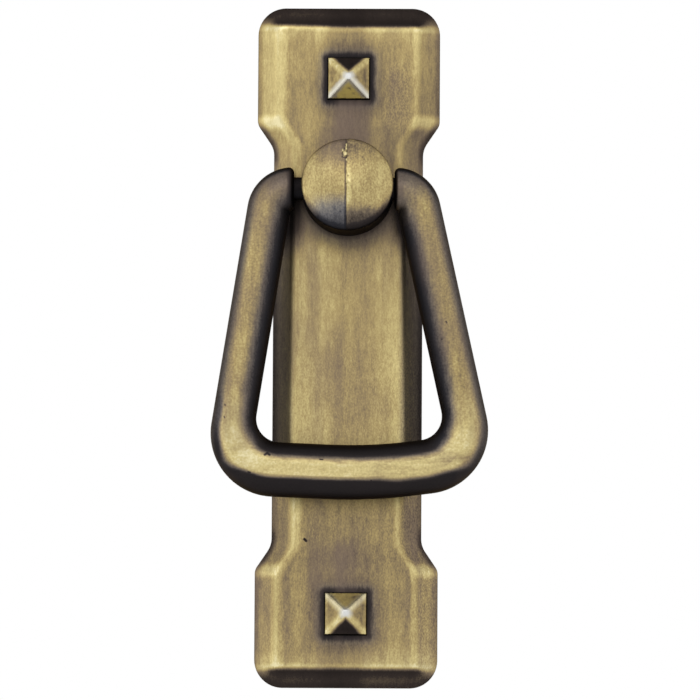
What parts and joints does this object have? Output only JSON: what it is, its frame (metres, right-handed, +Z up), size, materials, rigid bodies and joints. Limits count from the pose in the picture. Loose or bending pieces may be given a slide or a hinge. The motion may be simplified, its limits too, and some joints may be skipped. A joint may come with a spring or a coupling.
{
  "type": "door pull",
  "caption": "Antique brass drop pull: a waisted backplate with pyramid studs and a round post, from which a trapezoid bail swings.",
  "frame": {"origin": "mouth of the mounting screw's hole in the hinge post's back, in the door's plane", "axes": "+Z up along the plate, -Y out of the door, +X to the right seen from the front"},
  "size_m": [0.0475, 0.0146, 0.1176],
  "materials": {
    "antique_brass": "dark patina, brushed back to brass on the raised surfaces"
  },
  "bodies": {
    "base": {"backplate": "antique_brass", "hinge_post": "antique_brass", "upper_stud": "antique_brass", "lower_stud": "antique_brass"},
    "handle": {"bail": "antique_brass"}
  },
  "joints": [
    {"name": "bail_swing", "type": "hinge", "parent": "base", "child": "handle", "pos_m": [0, -0.00785, -0.00027], "axis": [-1, 0, 0], "range_deg": [0, 180]}
  ]
}
